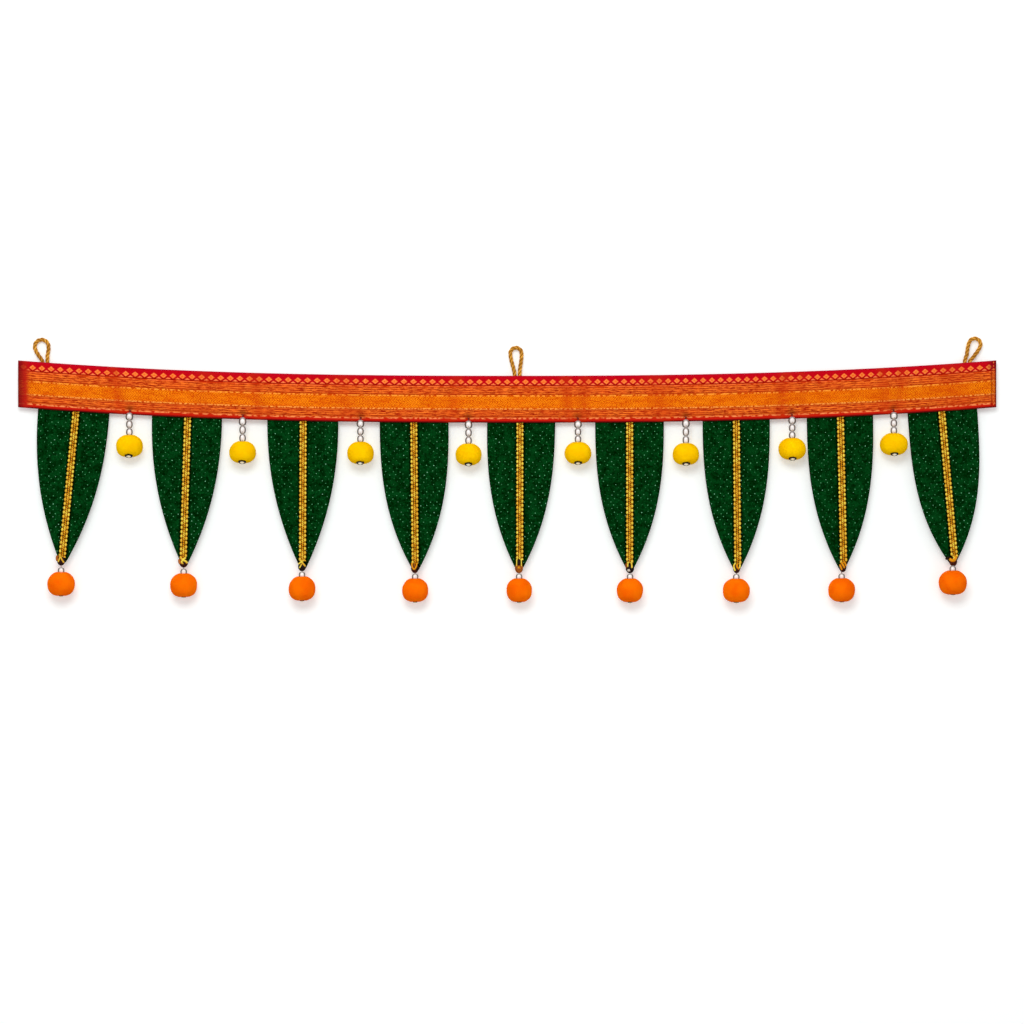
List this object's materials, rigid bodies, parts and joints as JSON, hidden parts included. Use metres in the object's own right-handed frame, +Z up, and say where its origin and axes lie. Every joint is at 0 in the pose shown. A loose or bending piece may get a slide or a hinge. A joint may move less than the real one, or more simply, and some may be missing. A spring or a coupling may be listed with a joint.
{
  "type": "toran door hanging",
  "caption": "Door toran: a red and gold woven band with pointed green leaf panels, gold braid ribs, strings of pearls, orange and yellow pompoms, and cord loops to hang it by.",
  "frame": {"origin": "middle of the band's top edge, half way through the band's cloth", "axes": "+X along the band to the viewer's right, +Y towards the wall or door frame behind, +Z up"},
  "size_m": [0.965, 0.0333, 0.2626],
  "materials": {
    "band_cloth": "crimson silk border woven with gold thread, satin with a metallic glint",
    "leaf_cloth": "dark green short-pile cloth with tiny glitter dots",
    "gold_braid": "loop-edged gold braid, satin",
    "gold_cord": "twisted gold-brown cord, satin",
    "pearl_bead": "pearl lustre, glossy",
    "gold_bead": "gold-coloured bead, polished",
    "orange_wool": "trimmed wool pile, matt",
    "yellow_wool": "trimmed wool pile, matt"
  },
  "bodies": {
    "root": {"band": "band_cloth", "loop_left": "gold_cord", "loop_middle": "gold_cord", "loop_right": "gold_cord", "leaf_1": "leaf_cloth", "leaf_2": "leaf_cloth", "leaf_3": "leaf_cloth", "leaf_4": "leaf_cloth", "leaf_5": "leaf_cloth", "leaf_6": "leaf_cloth", "leaf_7": "leaf_cloth", "leaf_8": "leaf_cloth", "leaf_9": "leaf_cloth", "braid_1": "gold_braid", "braid_2": "gold_braid", "braid_3": "gold_braid", "braid_4": "gold_braid", "braid_5": "gold_braid", "braid_6": "gold_braid", "braid_7": "gold_braid", "braid_8": "gold_braid", "braid_9": "gold_braid", "orange_string_1": "pearl_bead", "orange_string_2": "pearl_bead", "orange_string_3": "pearl_bead", "orange_string_4": "pearl_bead", "orange_string_5": "pearl_bead", "orange_string_6": "pearl_bead", "orange_string_7": "pearl_bead", "orange_string_8": "pearl_bead", "orange_string_9": "pearl_bead", "orange_pompom_1": "orange_wool", "orange_pompom_2": "orange_wool", "orange_pompom_3": "orange_wool", "orange_pompom_4": "orange_wool", "orange_pompom_5": "orange_wool", "orange_pompom_6": "orange_wool", "orange_pompom_7": "orange_wool", "orange_pompom_8": "orange_wool", "orange_pompom_9": "orange_wool", "yellow_string_1": "pearl_bead", "yellow_string_2": "pearl_bead", "yellow_string_3": "pearl_bead", "yellow_string_4": "pearl_bead", "yellow_string_5": "pearl_bead", "yellow_string_6": "pearl_bead", "yellow_string_7": "pearl_bead", "yellow_string_8": "pearl_bead", "yellow_pompom_1": "yellow_wool", "yellow_pompom_2": "yellow_wool", "yellow_pompom_3": "yellow_wool", "yellow_pompom_4": "yellow_wool", "yellow_pompom_5": "yellow_wool", "yellow_pompom_6": "yellow_wool", "yellow_pompom_7": "yellow_wool", "yellow_pompom_8": "yellow_wool"}
  },
  "joints": []
}
